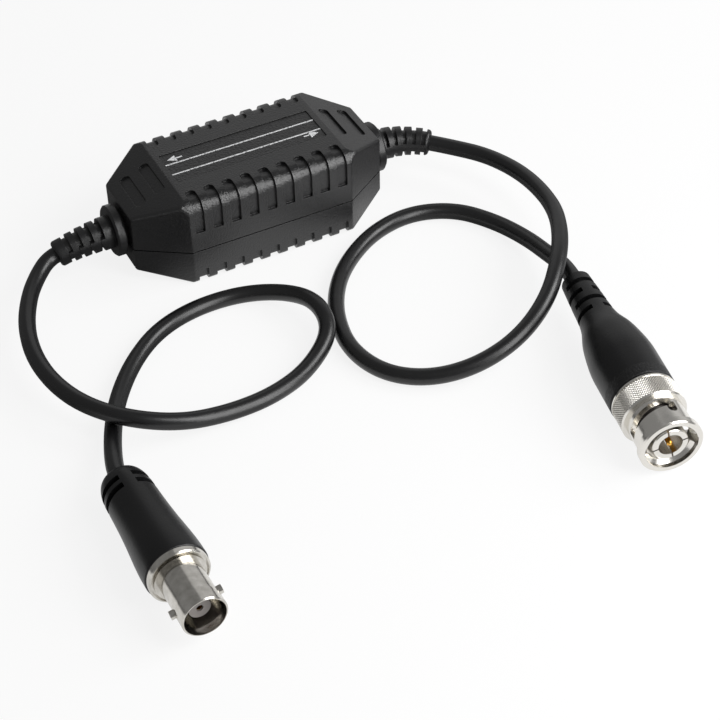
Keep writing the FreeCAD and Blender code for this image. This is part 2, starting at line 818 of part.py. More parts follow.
def boot_solid(outline, bore):
    """A moulded boot: a rounded front edge, a smooth outer form and a stepped bore."""
    front, front_radius = outline[0]
    rear, rear_radius = outline[-1]
    corner = Vec(front_radius, 0, -front)
    inside = Vec(bore[-1][1], 0, -front)
    after = Vec(outline[1][1], 0, -outline[1][0])
    start, middle, end = corner_arc(inside, corner, after, boot_edge_round)
    edges = [Part.Arc(start, middle, end).toShape(), Part.LineSegment(end, after).toShape(),
             boot_curve(outline).toShape()]
    inner = [Vec(rear_radius, 0, -rear)] + [Vec(radius, 0, -station) for station, radius in bore] + [start]
    edges += [Part.LineSegment(a, b).toShape() for a, b in zip(inner, inner[1:])]
    return Part.Face(Part.Wire(edges)).revolve(Vec(0, 0, 0), up, 360)


def crimped_cable(neck_front, rear, conductor_front):
    """The cable's end in a connector: jacket, braid over the neck, core and conductor."""
    neck_rear = neck_front + neck_length
    inside = neck_rear + braid_into_jacket
    jacket = pipe(neck_rear + jacket_behind_neck, rear, 0, cable_radius)
    braid = pipe(neck_front + braid_start, inside, neck_radius + fit_gap, neck_radius + braid_thickness)
    core = pipe(neck_front - core_past_neck, inside, 0, core_wire_radius)
    wire = pipe(conductor_front, neck_front, 0, conductor_radius)
    return joined([jacket, braid, core, wire])


def crimp_ferrule(neck_front):
    inner = neck_radius + braid_thickness + fit_gap
    return pipe(neck_front + fit_gap, neck_front + neck_length + ferrule_overlap, inner,
                inner + ferrule_thickness)


ferrule_radius = neck_radius + braid_thickness + fit_gap + ferrule_thickness


def make_jack_parts():
    flange_rear = flange_front + flange_thickness
    seat_end = flange_rear + jack_seat_length
    neck_end = seat_end + neck_length
    web_end = barrel_bore_depth + barrel_web
    recess_floor = flange_front + flange_recess
    rim_radius = flange_radius - flange_rim
    body = turned([
        (0, barrel_mouth_radius), (0, barrel_radius - barrel_edge), (barrel_edge, barrel_radius),
        (barrel_land_end, barrel_radius), (barrel_land_end + barrel_relief, barrel_radius - barrel_relief),
        (boss_front, barrel_radius - barrel_relief), (boss_front, barrel_boss_radius),
        (recess_floor, barrel_boss_radius), (recess_floor, rim_radius), (flange_front, rim_radius),
        (flange_front, flange_radius - barrel_edge), (flange_front + barrel_edge, flange_radius),
        (flange_rear, flange_radius), (flange_rear, jack_seat_radius), (seat_end, jack_seat_radius),
        (seat_end, neck_radius), (neck_end, neck_radius), (neck_end, neck_bore_radius),
        (jack_chamber_end, neck_bore_radius), (jack_chamber_end, jack_chamber_radius),
        (web_end, jack_chamber_radius), (web_end, post_radius + fit_gap),
        (barrel_bore_depth, post_radius + fit_gap), (barrel_bore_depth, barrel_bore_radius),
        (barrel_taper, barrel_bore_radius)])
    pins = []
    for side in (0, 180):
        angle = math.radians(bayonet_pin_turn + side)
        out = Vec(math.cos(angle), math.sin(angle), 0)
        foot = Vec(0, 0, -pin_station)
        pin = cylinder(bayonet_pin_radius, bayonet_pin_reach, foot, out)
        ball_radius = (pin_dimple_radius ** 2 + pin_dimple_depth ** 2) / (2 * pin_dimple_depth)
        ball_centre = foot + out * (bayonet_pin_reach + ball_radius - pin_dimple_depth)
        dimple = Part.makeSphere(ball_radius, ball_centre)
        pins.append(pin.cut([dimple, cylinder(barrel_bore_radius, 2 * pin_station, Vec(0, 0, 0), up * -1)]))
    pins = Part.Compound(pins)
    body = body.cut(pins)
    insulator_end = jack_chamber_end - insulator_short
    dielectric = turned([
        (post_front, post_hole_radius), (post_front, post_radius), (web_end, post_radius),
        (web_end, jack_chamber_radius - fit_gap), (insulator_end, jack_chamber_radius - fit_gap),
        (insulator_end, socket_radius + cup_gap), (post_front + post_lip, socket_radius + cup_gap),
        (post_front + post_lip, post_hole_radius)])
    socket_front = post_front + post_lip
    contact = turned([
        (socket_front, socket_bore_radius), (socket_front, socket_radius), (socket_end, socket_radius),
        (socket_end, conductor_radius + cup_gap), (socket_end - cup_depth, conductor_radius + cup_gap),
        (socket_end - cup_depth, 0), (socket_front + socket_bore_length, 0),
        (socket_front + socket_bore_length, socket_bore_radius)])
    slot = box(Vec(-socket_radius - 1, -socket_slot_width / 2, -socket_front - socket_slot_length),
               Vec(socket_radius + 1, socket_slot_width / 2, 0))
    contact = contact.cut(slot)
    outline = [(flange_rear, jack_boot_radius), (flange_rear + jack_boot_land, jack_boot_radius),
               (jack_boot_waist_station, jack_boot_waist),
               (jack_boot_shoulder_station, jack_boot_shoulder), (jack_boot_tail_station, jack_boot_tail),
               (jack_boot_end - jack_boot_tip_length, jack_boot_end_radius + jack_boot_tip_rise),
               (jack_boot_end, jack_boot_end_radius)]
    bore = [(jack_boot_end, cable_radius + fit_gap),
            (neck_end + ferrule_overlap + fit_gap, cable_radius + fit_gap),
            (neck_end + ferrule_overlap + fit_gap, ferrule_radius + fit_gap),
            (seat_end + fit_gap, ferrule_radius + fit_gap), (seat_end + fit_gap, jack_seat_radius + fit_gap),
            (flange_rear, jack_seat_radius + fit_gap)]
    boot = boot_solid(outline, bore)
    cuts = []
    for station in jack_boot_slots:
        for side in (0, 180):
            reach = 90 - jack_boot_spine_angle
            cuts.append(sector(station - jack_boot_slot_width / 2, station + jack_boot_slot_width / 2,
                               jack_boot_slot_floor, flange_radius + 2, side - reach, side + reach))
    boot = boot.cut(cuts)
    conductor_front = socket_end - cup_depth + conductor_short
    return {
        "jack_body": body, "jack_bayonet_pins": pins, "jack_dielectric": dielectric, "jack_contact": contact,
        "jack_ferrule": crimp_ferrule(seat_end), "jack_boot": boot,
        "jack_cable_end": crimped_cable(seat_end, jack_boot_end, conductor_front)}, outline


def cam_slot():
    """One bayonet slot: a helical run that ends in a round-ended detent notch."""
    turn = cam_angle_start - cam_angle_end
    rise = cam_rear_end - cam_rear_start
    helix = Part.makeHelix(rise * 360 / turn, rise, sleeve_radius)
    inner = sleeve_bore_radius - cam_overrun
    outer = sleeve_radius + cam_overrun
    half = cam_slot_width / 2
    corners = [Vec(inner, 0, -half), Vec(outer, 0, -half), Vec(outer, 0, half), Vec(inner, 0, half)]
    run = Part.Wire(helix.Edges).makePipeShell([Part.makePolygon(corners + [corners[0]])], True, True)
    run.rotate(Vec(0, 0, 0), up, cam_angle_end)
    run.translate(Vec(0, 0, half - cam_rear_end))
    out = Vec(math.cos(math.radians(cam_notch_angle)), math.sin(math.radians(cam_notch_angle)), 0)
    end = cylinder(half, outer, Vec(0, 0, -cam_notch_station), out)
    neck = box(Vec(0, -half, -cam_rear_end + half), Vec(outer, half, -cam_notch_station))
    neck.rotate(Vec(0, 0, 0), up, cam_notch_angle)
    notch = end.fuse(neck).cut(cylinder(inner, sleeve_length, Vec(0, 0, 0), up * -1))
    return run, notch


def make_coupling_sleeve():
    knurl_rear = sleeve_length - knurl_rear_band
    web_rear = sleeve_web_front + sleeve_web_thickness
    ring_front = ring_station
    ring_rear = ring_station + ring_thickness
    groove = sleeve_cavity_radius + ring_groove_depth
    sleeve = turned([
        (0, sleeve_mouth_radius), (0, sleeve_lip_radius - sleeve_edge), (sleeve_edge, sleeve_lip_radius),
        (sleeve_lip_width, sleeve_lip_radius), (sleeve_lip_width + sleeve_edge, sleeve_radius),
        (knurl_front, sleeve_radius), (knurl_front, knurl_radius - sleeve_edge),
        (knurl_front + sleeve_edge, knurl_radius), (knurl_front + knurl_margin, knurl_radius),
        (knurl_front + knurl_margin, knurl_root_radius), (knurl_rear, knurl_root_radius),
        (knurl_rear, knurl_radius), (sleeve_length - sleeve_edge, knurl_radius),
        (sleeve_length, knurl_radius - sleeve_edge), (sleeve_length, sleeve_cavity_radius),
        (ring_rear + ring_slack, sleeve_cavity_radius), (ring_rear + ring_slack, groove),
        (ring_front - ring_slack, groove), (ring_front - ring_slack, sleeve_cavity_radius),
        (web_rear, sleeve_cavity_radius), (web_rear, body_radius + running_gap),
        (sleeve_web_front, body_radius + running_gap), (sleeve_web_front, sleeve_bore_radius),
        (sleeve_mouth_depth + sleeve_mouth_radius - sleeve_bore_radius, sleeve_bore_radius),
        (sleeve_mouth_depth, sleeve_mouth_radius)])
    cuts = []
    for side in (0, 180):
        middle = 180 + side
        cuts.append(sector(-1, cam_rear_start, sleeve_bore_radius - cam_overrun, entry_radius,
                           middle - entry_half_angle, middle + entry_half_angle))
        for piece in cam_slot():
            cut = piece.copy()
            cut.rotate(Vec(0, 0, 0), up, side)
            cuts.append(cut)
    for cut in cuts:
        sleeve = sleeve.cut(cut)
    return sleeve


flange_station = sleeve_web_front + sleeve_web_thickness + flange_gap
spring_station = flange_station + body_flange_thickness
spring_space = spring_thickness + 2 * spring_wave
washer_station = spring_station + spring_space + sleeve_travel + washer_slack
ring_station = washer_station + washer_thickness + ring_slack


def make_spring_washer():
    """A wave washer: a flat strip that follows a closed wavy line."""
    middle = (spring_inner_radius + spring_outer_radius) / 2
    width = spring_outer_radius - spring_inner_radius
    centre = -(spring_station + spring_space / 2)
    count = spring_waves * 8
    line = []
    for index in range(count):
        angle = 2 * math.pi * index / count
        line.append(Vec(middle * math.cos(angle), middle * math.sin(angle),
                        centre + spring_wave * math.cos(spring_waves * angle)))
    curve = Part.BSplineCurve()
    curve.interpolate(line, PeriodicFlag=True)
    start = line[0]
    half = spring_thickness / 2
    corners = [start + Vec(x, 0, z) for x, z in
               ((-width / 2, -half), (width / 2, -half), (width / 2, half), (-width / 2, half))]
    sweep = Part.BRepOffsetAPI.MakePipeShell(Part.Wire(curve.toShape()))
    sweep.setBiNormalMode(up)
    sweep.add(Part.makePolygon(corners + [corners[0]]))
    sweep.build()
    sweep.makeSolid()
    return Part.Solid(sweep.shape())


def make_plug_parts():
    body_shoulder = sleeve_web_front - shoulder_gap
    gasket_front = body_shoulder - gasket_thickness
    neck_front = body_end
    neck_end = neck_front + neck_length
    body = turned([
        (finger_front, finger_bore_radius), (finger_front, finger_radius - finger_edge),
        (finger_front + finger_edge, finger_radius), (body_shoulder, finger_radius),
        (body_shoulder, body_radius),
        (flange_station, body_radius), (flange_station, sleeve_cavity_radius - running_gap),
        (spring_station, sleeve_cavity_radius - running_gap), (spring_station, body_radius),
        (body_end, body_radius), (body_end, neck_radius), (neck_end, neck_radius),
        (neck_end, neck_bore_radius), (plug_chamber_end, neck_bore_radius),
        (plug_chamber_end, plug_chamber_radius), (plug_chamber_front, plug_chamber_radius),
        (plug_chamber_front, finger_bore_radius)])
    slots = []
    for index in range(2):
        slot = box(Vec(-finger_radius - 1, -finger_slot_width / 2, -finger_front - finger_slot_length),
                   Vec(finger_radius + 1, finger_slot_width / 2, 0))
        slot.rotate(Vec(0, 0, 0), up, finger_slot_angle + 90 * index)
        slots.append(slot)
    body = body.cut(slots)
    insulator_end = plug_chamber_end - insulator_short
    dielectric = turned([
        (insulator_front, plug_pin_radius + cup_gap), (insulator_front, finger_bore_radius - fit_gap),
        (plug_chamber_front, finger_bore_radius - fit_gap),
        (plug_chamber_front, plug_chamber_radius - fit_gap),
        (insulator_end, plug_chamber_radius - fit_gap),
        (insulator_end, plug_pin_collar_radius + cup_gap),
        (plug_pin_collar_front, plug_pin_collar_radius + cup_gap),
        (plug_pin_collar_front, plug_pin_radius + cup_gap)])
    pin = turned([
        (plug_pin_tip, plug_pin_centre_radius), (plug_pin_tip, plug_pin_radius - plug_pin_round),
        (plug_pin_tip + plug_pin_round, plug_pin_radius), (plug_pin_collar_front, plug_pin_radius),
        (plug_pin_collar_front, plug_pin_collar_radius), (plug_pin_end, plug_pin_collar_radius),
        (plug_pin_end, conductor_radius + cup_gap), (plug_pin_end - cup_depth, conductor_radius + cup_gap),
        (plug_pin_end - cup_depth, 0), (plug_pin_tip + plug_pin_centre_depth, 0)])
    gasket = pipe(gasket_front, body_shoulder, finger_radius + fit_gap, finger_radius + gasket_rim)
    washer = pipe(washer_station, washer_station + washer_thickness, body_radius + running_gap,
                  sleeve_cavity_radius - running_gap)
    ring = sector(ring_station, ring_station + ring_thickness, ring_inner_radius,
                  sleeve_cavity_radius + ring_groove_depth - ring_slack, ring_gap_angle / 2,
                  360 - ring_gap_angle / 2)
    boot_front = sleeve_length + boot_front_gap
    outline = [(boot_front, plug_boot_radius), (plug_boot_straight, plug_boot_radius)]
    outline += list(plug_boot_outline)
    rear = outline[-1][0]
    bore = [(rear, cable_radius + fit_gap), (neck_end + ferrule_overlap + fit_gap, cable_radius + fit_gap),
            (neck_end + ferrule_overlap + fit_gap, ferrule_radius + fit_gap),
            (body_end + fit_gap, ferrule_radius + fit_gap), (body_end + fit_gap, body_radius + fit_gap),
            (boot_front, body_radius + fit_gap)]
    boot = boot_solid(outline, bore)
    cuts = []
    for stations, turn in ((plug_boot_side_slots, 0), (plug_boot_top_slots, 90)):
        for station in stations:
            for side in (0, 180):
                middle = turn + side
                reach = 90 - plug_boot_spine_angle
                half = plug_boot_slot_width / 2
                cuts.append(sector(station - half, station + half, plug_boot_slot_floor, plug_boot_radius,
                                   middle - reach, middle + reach))
    boot = boot.cut(cuts)
    conductor_front = plug_pin_end - cup_depth + conductor_short
    return {
        "plug_body": body, "plug_dielectric": dielectric, "plug_pin": pin, "sealing_gasket": gasket,
        "thrust_washer": washer, "retaining_ring": ring, "spring_washer": make_spring_washer(),
        "coupling_sleeve": make_coupling_sleeve(), "plug_boot": boot,
        "plug_ferrule": crimp_ferrule(neck_front),
        "plug_cable_end": crimped_cable(neck_front, rear, conductor_front)}, outline


def route(side, tail, middle, frame, rear, lead):
    """A cable's points: out of its relief, along the chosen ones and into its connector's boot."""
    leaves, heading = relief_exit(side, tail)
    end = frame.multVec(Vec(0, 0, -rear))
    before_end = frame.multVec(Vec(0, 0, -rear - lead))
    points = [leaves, leaves + heading * tail.lead] + [Vec(*point) for point in middle] + [before_end, end]
    return [(point.x, point.y, point.z) for point in points]


os.makedirs(parts_folder, exist_ok=True)

save("upper_shell", make_upper_shell())
save("lower_shell", make_lower_shell())
save("label_panel", make_panel())
save("panel_marking", make_marking())
save("circuit_board", make_board())
save("core_pad", make_core_pad())
save("toroid_core", make_toroid_core())
save("primary_winding", make_winding(-1))
save("secondary_winding", make_winding(1))

for label, side, tail in (("left", -1, left_tail), ("right", 1, right_tail)):
    save("strain_relief_" + label, make_relief(side, tail))
    save("cable_end_" + label, make_cable_end(side, tail))
    save("shield_tail_" + label, make_shield_tail(side))

jack_parts, jack_outline = make_jack_parts()
jack_frame = connector_frame(jack_place, jack_yaw, jack_pitch, rest_height(jack_outline, jack_pitch))
for name, shape in jack_parts.items():
    save(name, placed(shape, jack_frame))

plug_parts, plug_outline = make_plug_parts()
plug_frame = connector_frame(plug_place, plug_yaw, 0.0, rest_height(plug_outline, 0.0))
for name, shape in plug_parts.items():
    save(name, placed(shape, plug_frame))

left_points = route(-1, left_tail, left_route, jack_frame, jack_boot_end, jack_lead)
right_points = route(1, right_tail, right_route, plug_frame, plug_outline[-1][0], plug_lead)
save("cable_left", tube(left_points, cable_radius, "cable_left"))
save("cable_right", tube(right_points, cable_radius, "cable_right"))
print("left ends", [tuple(round(v, 3) for v in p) for p in left_points[:2] + left_points[-2:]])
print("right ends", [tuple(round(v, 3) for v in p) for p in right_points[:2] + right_points[-2:]])
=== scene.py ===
"""Video ground loop isolator: a grooved black box on two coaxial tails, with a bayonet jack and a plug."""
import math

import bmesh
import bpy
from mathutils import Matrix, Vector


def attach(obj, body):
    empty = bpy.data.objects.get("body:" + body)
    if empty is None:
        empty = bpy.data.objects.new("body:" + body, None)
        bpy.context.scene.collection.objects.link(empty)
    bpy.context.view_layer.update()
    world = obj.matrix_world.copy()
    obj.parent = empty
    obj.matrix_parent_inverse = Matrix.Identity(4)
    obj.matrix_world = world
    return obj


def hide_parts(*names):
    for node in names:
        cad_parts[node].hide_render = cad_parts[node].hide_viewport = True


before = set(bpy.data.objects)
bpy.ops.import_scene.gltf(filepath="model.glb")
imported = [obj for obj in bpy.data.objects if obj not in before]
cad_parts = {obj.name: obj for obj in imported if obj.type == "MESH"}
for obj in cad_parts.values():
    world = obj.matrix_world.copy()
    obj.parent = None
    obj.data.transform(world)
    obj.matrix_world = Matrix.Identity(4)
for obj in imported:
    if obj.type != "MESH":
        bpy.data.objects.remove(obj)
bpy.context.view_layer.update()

# Lower shell: the injection-moulded ABS base, black all through. The mould is spark eroded,
# which leaves a fine even grain with a satin face, and it carries the board on ribs and pegs.


def linear(code):
    """An sRGB hex colour as linear red, green, blue and alpha."""
    parts = [int(code[place:place + 2], 16) / 255 for place in (1, 3, 5)]
    return [part / 12.92 if part <= 0.04045 else ((part + 0.055) / 1.055) ** 2.4 for part in parts] + [1.0]


def add_node(tree, kind, values=None, links=None, **settings):
    """Adds a shader node, with its settings, its sockets' values and what is linked into them."""
    made = tree.nodes.new(kind)
    for name, setting in settings.items():
        setattr(made, name, setting)
    for socket, value in (values or {}).items():
        made.inputs[socket].default_value = value
    for socket, source in (links or {}).items():
        tree.links.new(source, made.inputs[socket])
    return made


def finish(name, colour, **sockets):
    """A material of one principled shader in that colour; returns it with its tree and its shader."""
    made = bpy.data.materials.new(name)
    made.use_nodes = True
    shader = made.node_tree.nodes["Principled BSDF"]
    shader.inputs["Base Color"].default_value = linear(colour)
    for socket, value in sockets.items():
        shader.inputs[socket.replace("_", " ")].default_value = value
    return made, made.node_tree, shader


weld_reach = 0.000002
crisp_angle = math.radians(28)


def dress(material, *nodes):
    """Gives the moulded or turned nodes their finish and shades their round faces smooth."""
    for name in nodes:
        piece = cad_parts[name]
        piece.data.materials.clear()
        piece.data.materials.append(material)
        for face in piece.data.polygons:
            face.use_smooth = True
        piece.modifiers.new("joined_facets", "WELD").merge_threshold = weld_reach
        piece.modifiers.new("crisp_edges", "EDGE_SPLIT").split_angle = crisp_angle


sheen_patch = 0.00625


def spark_grain(tree, shader, grain, depth, low, high, edge=0.0):
    """Pits of that grain size, a sheen that wanders between two roughnesses, and edges worn to a radius."""
    place = add_node(tree, "ShaderNodeTexCoord").outputs["Object"]
    pits = add_node(tree, "ShaderNodeTexNoise", {"Scale": 1 / grain, "Detail": 2.0, "Roughness": 0.6},
                    {"Vector": place})
    wander = add_node(tree, "ShaderNodeTexNoise", {"Scale": 1 / sheen_patch, "Detail": 3.0},
                      {"Vector": place})
    rough = add_node(tree, "ShaderNodeMapRange", {"To Min": low, "To Max": high},
                     {"Value": wander.outputs[0]})
    relief = add_node(tree, "ShaderNodeBump", {"Strength": 1.0, "Distance": depth},
                      {"Height": pits.outputs[0]})
    if edge:
        worn = add_node(tree, "ShaderNodeBevel", {"Radius": edge}, samples=4)
        tree.links.new(worn.outputs[0], relief.inputs["Normal"])
    tree.links.new(rough.outputs[0], shader.inputs["Roughness"])
    tree.links.new(relief.outputs[0], shader.inputs["Normal"])


# Moulded ABS: pits of 0.45 mm break its shine into a satin grain, and its worn edges catch a thin
# line of light. Along the parting line, where the two shells meet, it is painted black and without
# reflection: painted shade for the joint, which is deeper on the real box than the shallow groove
# modelled there.
parting_height = 0.0093
joint_shade_height = 0.00026
moulded_abs, tree, shader = finish("spark_eroded_abs", "#121213", IOR=1.62)
spark_grain(tree, shader, grain=0.00045, depth=0.00011, low=0.25, high=0.34, edge=0.00014)
place = add_node(tree, "ShaderNodeTexCoord").outputs["Object"]
height = add_node(tree, "ShaderNodeSeparateXYZ", links={0: place}).outputs["Z"]
# The band round the parting line is painted shade: black, and metallic so that it mirrors nothing.
joint_shade_mask = add_node(tree, "ShaderNodeMath", {1: parting_height, 2: joint_shade_height / 2}, {0: height},
               operation="COMPARE").outputs[0]
black = add_node(tree, "ShaderNodeMix", {"A": linear("#121213"), "B": linear("#010101")}, {"Factor": joint_shade_mask},
                 data_type="RGBA")
tree.links.new(black.outputs["Result"], shader.inputs["Base Color"])
tree.links.new(joint_shade_mask, shader.inputs["Metallic"])
dress(moulded_abs, "lower_shell")

# Circuit board: a small glass-epoxy board under green solder mask. The transformer, the two
# conductors and the two shield tails are soldered to it.

# Solder mask: a glossy green lacquer, with the glass cloth showing through as faint cells. They
# are 0.56 by 0.28 mm, and the pattern's own cell is half as wide as its unit.
weave_cell = 0.00055556
cell_in_units = 0.5
solder_mask, tree, shader = finish("green_solder_mask", "#0c5a2e", Roughness=0.25, IOR=1.5)
place = add_node(tree, "ShaderNodeTexCoord").outputs["Object"]
weave = add_node(tree, "ShaderNodeTexBrick", {"Scale": cell_in_units / weave_cell, "Mortar Size": 0.08},
                 {"Vector": place})
relief = add_node(tree, "ShaderNodeBump", {"Strength": 0.3, "Distance": 0.00003},
                  {"Height": weave.outputs["Fac"]})
tree.links.new(relief.outputs[0], shader.inputs["Normal"])
dress(solder_mask, "circuit_board")

# Transformer: a sintered ferrite ring on a pad of foam tape, with two windings of enamelled copper
# wire. The ends of the windings run down to the board.

# Foam tape: dull and cream coloured, with open cells of 0.4 mm.
foam_cell = 0.0004
foam, tree, shader = finish("foam_tape", "#d6d2c6", Roughness=0.9)
place = add_node(tree, "ShaderNodeTexCoord").outputs["Object"]
cells = add_node(tree, "ShaderNodeTexVoronoi", {"Scale": 1 / foam_cell}, {"Vector": place})
relief = add_node(tree, "ShaderNodeBump", {"Strength": 0.6, "Distance": 0.0001},
                  {"Height": cells.outputs["Distance"]})
tree.links.new(relief.outputs[0], shader.inputs["Normal"])
dress(foam, "core_pad")

# Sintered ferrite: a dull grey-black ceramic with a fine tooth. Its grain is drawn coarser than
# the real one, which is too fine to show.
ferrite, tree, shader = finish("sintered_ferrite", "#2b2b2e")
spark_grain(tree, shader, grain=0.0005, depth=0.00002, low=0.45, high=0.6)
dress(ferrite, "toroid_core")

# Enamelled copper: a warm red metal under varnish, ridged by its turns. The ridges are 0.9 mm
# apart, drawn coarser than the real wire. Straight bands repeat 20 / tau times in a unit.
turn_pitch = 0.0008976
straight_bands = 20 / math.tau
enamel, tree, shader = finish("enamelled_copper", "#b4602c", Metallic=1.0, Roughness=0.28)
place = add_node(tree, "ShaderNodeTexCoord").outputs["Object"]
turns = add_node(tree, "ShaderNodeTexWave", {"Scale": 1 / (straight_bands * turn_pitch), "Distortion": 0.0},
                 {"Vector": place}, bands_direction="Y")
relief = add_node(tree, "ShaderNodeBump", {"Strength": 1.0, "Distance": 0.0002},
                  {"Height": turns.outputs["Fac"]})
tree.links.new(relief.outputs[0], shader.inputs["Normal"])
dress(enamel, "primary_winding", "secondary_winding")

# Shield tails: the bare copper braid of each cable, combed out, twisted into a tail and soldered
# to the board beside the conductor.

# Twisted braid: bright strands with dark gaps that wind round the tail. They are 0.4 mm apart,
# drawn coarser than the real strands. Slanting bands repeat 10 root 3 / tau times in a unit.
strand_pitch = 0.00040307
slanting_bands = 10 * math.sqrt(3) / math.tau
braid, tree, shader = finish("twisted_braid", "#b9794e", Metallic=1.0, Roughness=0.35)
place = add_node(tree, "ShaderNodeTexCoord").outputs["Object"]
strands = add_node(tree, "ShaderNodeTexWave",
                   {"Scale": 1 / (slanting_bands * strand_pitch), "Distortion": 1.0},
                   {"Vector": place}, bands_direction="DIAGONAL")
relief = add_node(tree, "ShaderNodeBump", {"Strength": 0.8, "Distance": 0.00008},
                  {"Height": strands.outputs["Fac"]})
tree.links.new(relief.outputs[0], shader.inputs["Normal"])
dress(braid, "shield_tail_left", "shield_tail_right")

# Strain reliefs: soft PVC moulded on each cable, a round flange that the shells clamp and a tail
# cut by slots so that it bends.

# Soft PVC: a low sheen over a grain much shallower than the box's, so that it looks waxy.
soft_pvc, tree, shader = finish("soft_moulded_pvc", "#131314", IOR=1.53)
spark_grain(tree, shader, grain=0.0005, depth=0.00004, low=0.30, high=0.42, edge=0.0001)
dress(soft_pvc, "strain_relief_left", "strain_relief_right")

# Upper shell: the injection-moulded ABS cover, from a mould with the same spark-eroded grain as
# the base's. It closes over the base's lip and has the recess for the label panel.
dress(moulded_abs, "upper_shell")

# Label panel: a thin black plate that fills the recess in the cover. It is moulded with a coarse
# cast grain, which sets it off from the cover round it.

# Coarse panel: pits twice as deep as the cover's, so the light breaks into separate flecks.
coarse_panel, tree, shader = finish("coarse_grained_panel", "#121213", IOR=1.58)
spark_grain(tree, shader, grain=0.00055, depth=0.00022, low=0.28, high=0.40)
dress(coarse_panel, "label_panel")

# Panel marking: two ruled lines and two arrows, screen printed in silver ink on the panel's
# grain.


def two_tones(tree, shader, pattern, *stops):
    """Colours the shader by a pattern, from one colour to the other between two of its values."""
    tone = add_node(tree, "ShaderNodeValToRGB", links={"Fac": pattern})
    for element, (position, colour) in zip(tone.color_ramp.elements, stops):
        element.position = position
        element.color = linear(colour)
    tree.links.new(tone.outputs[0], shader.inputs["Base Color"])


# Silver ink: a dull light grey that thins to dark specks of 0.56 mm where the grain is deep.
ink_speck = 0.00055556
silver_ink, tree, shader = finish("silver_screen_ink", "#c9cacb", Roughness=0.5)
place = add_node(tree, "ShaderNodeTexCoord").outputs["Object"]
thin = add_node(tree, "ShaderNodeTexNoise", {"Scale": 1 / ink_speck, "Detail": 2.0}, {"Vector": place})
two_tones(tree, shader, thin.outputs[0], (0.35, "#8b8c8d"), (0.5, "#e4e5e6"))
dress(silver_ink, "panel_marking")

# Coaxial tails: 3.9 mm cable with a black extruded PVC jacket. Each one leaves its strain relief
# and lies in a loose loop, crosses itself and ends in its connector.


def cloud(tree, shader, patch, sheen=None, strength=0.0, depth=0.0, **texture):
    """Patches of that size that move the sheen between two roughnesses and lift the face by the depth."""
    place = add_node(tree, "ShaderNodeTexCoord").outputs["Object"]
    patches = add_node(tree, "ShaderNodeTexNoise", {"Scale": 1 / patch, **texture},
                       {"Vector": place}).outputs[0]
    if sheen:
        rough = add_node(tree, "ShaderNodeMapRange", {"To Min": sheen[0], "To Max": sheen[1]},
                         {"Value": patches})
        tree.links.new(rough.outputs[0], shader.inputs["Roughness"])
    if depth:
        relief = add_node(tree, "ShaderNodeBump", {"Strength": strength, "Distance": depth},
                          {"Height": patches})
        tree.links.new(relief.outputs[0], shader.inputs["Normal"])
    return patches


# Extruded PVC: satin from the die, with slow waves of 2.4 mm that make the long highlight waver.
jacket, tree, shader = finish("extruded_pvc_jacket", "#111112", IOR=1.53)
cloud(tree, shader, patch=0.002381, sheen=(0.26, 0.38), strength=0.25, depth=0.0001, Detail=3.0,
      Roughness=0.55)
dress(jacket, "cable_end_left", "cable_end_right", "jack_cable_end", "plug_cable_end")
cable_diameter = 0.0039


def lay_cable(name, node, points):
    """One coaxial tail along its route, points in metres."""
    line = bpy.data.curves.new(name, "CURVE")
    line.dimensions = "3D"
    line.resolution_u = 10
    line.bevel_depth = cable_diameter / 2
    line.bevel_resolution = 7
    line.use_fill_caps = True
    run = line.splines.new("NURBS")
    run.points.add(len(points) - 1)
    for point, (x, y, z) in zip(run.points, points):
        point.co = (x, y, z, 1.0)
    run.order_u = 3
    run.use_endpoint_u = True
    made = bpy.data.objects.new(name, line)
    bpy.context.scene.collection.objects.link(made)
    line.materials.append(jacket)
    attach(made, "housing")
    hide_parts(node)


left_route = [
    (-0.048645, 0.0, 0.00883), (-0.05077, 0.0, 0.008261), (-0.0547, -0.0033, 0.0072),
    (-0.0588, -0.0088, 0.0068), (-0.0629, -0.0179, 0.0067), (-0.0649, -0.0282, 0.0067),
    (-0.0642, -0.0388, 0.0068), (-0.0608, -0.0487, 0.0071), (-0.0539, -0.0572, 0.0071),
    (-0.0437, -0.061, 0.0046), (-0.0324, -0.0609, 0.0023), (-0.0215, -0.06, 0.00195),
    (-0.0114, -0.0566, 0.0024), (-0.0023, -0.0496, 0.0044), (-0.0012, -0.0407, 0.006),
    (-0.0049, -0.0316, 0.0036), (-0.0134, -0.0256, 0.00195), (-0.0248, -0.025, 0.00195),
    (-0.0355, -0.0281, 0.00195), (-0.0446, -0.0352, 0.00195), (-0.0525, -0.0451, 0.002),
    (-0.0579, -0.0559, 0.003), (-0.06205, -0.068076, 0.005148), (-0.06205, -0.071071, 0.005318)]
right_route = [
    (0.047722, -0.004513, 0.009966), (0.051705, -0.007823, 0.009501), (0.0582, -0.0157, 0.0095),
    (0.0617, -0.0271, 0.0099), (0.061, -0.0402, 0.0107), (0.057, -0.0503, 0.0116),
    (0.0506, -0.06, 0.0119), (0.042, -0.0692, 0.0102), (0.0315, -0.0745, 0.0072),
    (0.0204, -0.0751, 0.0042), (0.0104, -0.0718, 0.0023), (0.0027, -0.0652, 0.00195),
    (-0.0004, -0.0547, 0.00195), (0.0019, -0.0433, 0.00195), (0.0071, -0.0334, 0.00195),
    (0.0147, -0.0257, 0.00195), (0.0245, -0.0198, 0.00195), (0.0352, -0.0179, 0.00195),
    (0.0453, -0.0219, 0.00195), (0.0514, -0.0306, 0.002), (0.0539, -0.0411, 0.0034),
    (0.0538, -0.0511, 0.0056), (0.053625, -0.059001, 0.00753), (0.052507, -0.064693, 0.00753)]
plug_nodes = [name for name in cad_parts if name.startswith("plug_")]
plug_nodes += ["coupling_sleeve", "spring_washer", "thrust_washer", "retaining_ring", "sealing_gasket"]
lay_cable("left_coaxial_tail", "cable_left", left_route)
lay_cable("right_coaxial_tail", "cable_right", right_route)

# Bayonet jack: a turned brass barrel with a round flange, nickel plated to a satin face, with
# two steel pins pressed through its wall and a moulded boot over its crimp.

